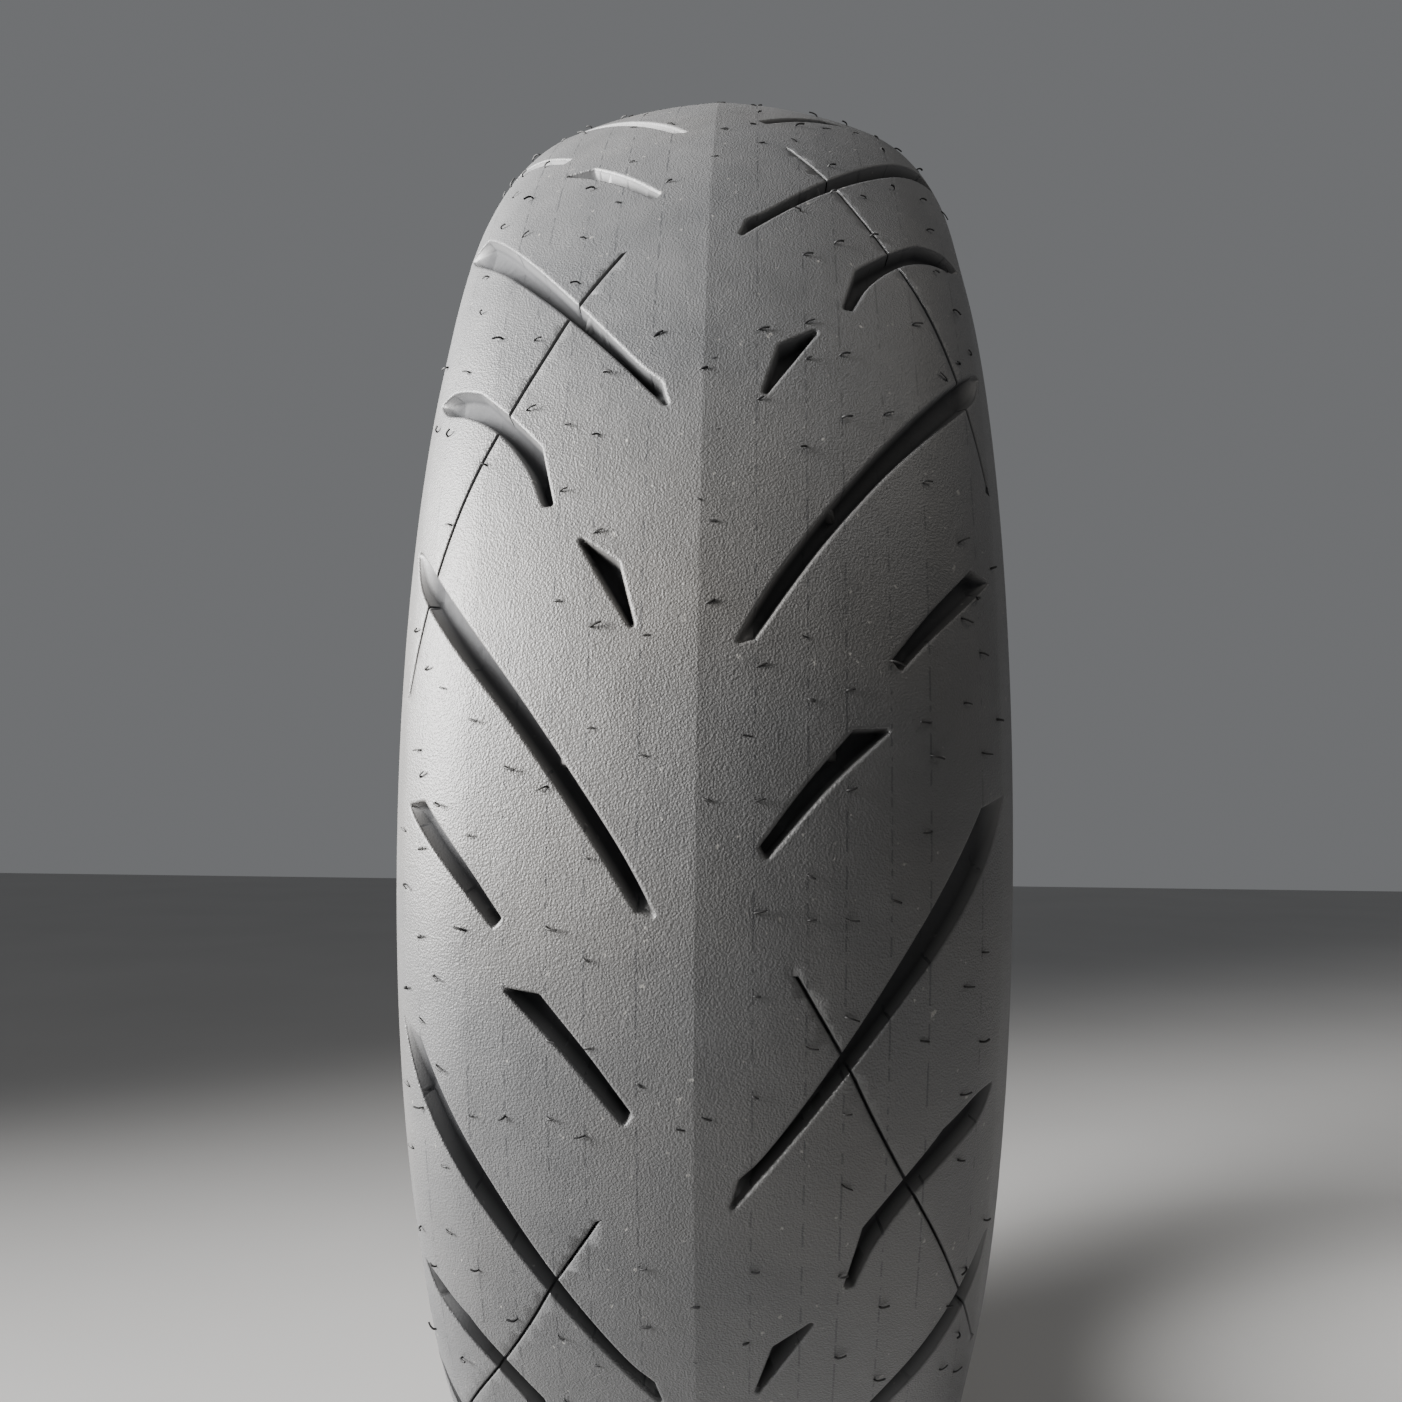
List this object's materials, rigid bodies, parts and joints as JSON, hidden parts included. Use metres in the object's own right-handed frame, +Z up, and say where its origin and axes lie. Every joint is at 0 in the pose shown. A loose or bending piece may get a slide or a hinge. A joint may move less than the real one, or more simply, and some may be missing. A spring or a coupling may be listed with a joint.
{
  "type": "motorcycle tire",
  "caption": "Radial rear motorcycle road tire with a round-section grooved tread, built from its tread compounds, belt, plies, liner, sidewalls and wire beads.",
  "frame": {"origin": "wheel centre: on the spin axis, midway between the beads", "axes": "+X the way the tire rolls; +Y along the spin axis, towards its left side; +Z up"},
  "size_m": [0.63, 0.1756, 0.63],
  "materials": {
    "tread_centre_rubber": "moulded tread rubber, finely pebbled and semi-matt",
    "tread_shoulder_rubber": "softer moulded tread rubber, finely pebbled and semi-matt",
    "sidewall_rubber": "smooth moulded sidewall rubber, satin",
    "cushion_rubber": "smooth hard rubber, satin",
    "base_rubber": "cured rubber, matt",
    "liner_rubber": "butyl sheet, satin, with the marks of the curing bladder",
    "filler_rubber": "very hard rubber, matt",
    "bead_wrap_rubber": "rubber about the wires, matt",
    "rubberised_aramid": "rubber-coated aramid cord sheet",
    "rubberised_rayon": "rubber-coated rayon cord sheet",
    "chafer_fabric": "square-woven nylon, rubber-coated",
    "steel_cord_belt": "rubber strip with steel cords, wound at zero degrees",
    "bead_wire": "bronze-plated spring steel wire"
  },
  "bodies": {
    "root": {"tread_cap_centre": "tread_centre_rubber", "tread_cap_left": "tread_shoulder_rubber", "tread_cap_right": "tread_shoulder_rubber", "tread_base": "base_rubber", "spiral_belt": "steel_cord_belt", "breaker_ply": "rubberised_aramid", "carcass_ply_outer": "rubberised_rayon", "carcass_ply_inner": "rubberised_rayon", "inner_liner": "liner_rubber", "sidewall_left": "sidewall_rubber", "sidewall_right": "sidewall_rubber", "rim_cushion_left": "cushion_rubber", "rim_cushion_right": "cushion_rubber", "bead_filler_left": "filler_rubber", "bead_filler_right": "filler_rubber", "chafer_left": "chafer_fabric", "chafer_right": "chafer_fabric", "bead_wrap_left": "bead_wrap_rubber", "bead_wrap_right": "bead_wrap_rubber", "bead_wires_left": "bead_wire", "bead_wires_right": "bead_wire"}
  },
  "joints": []
}
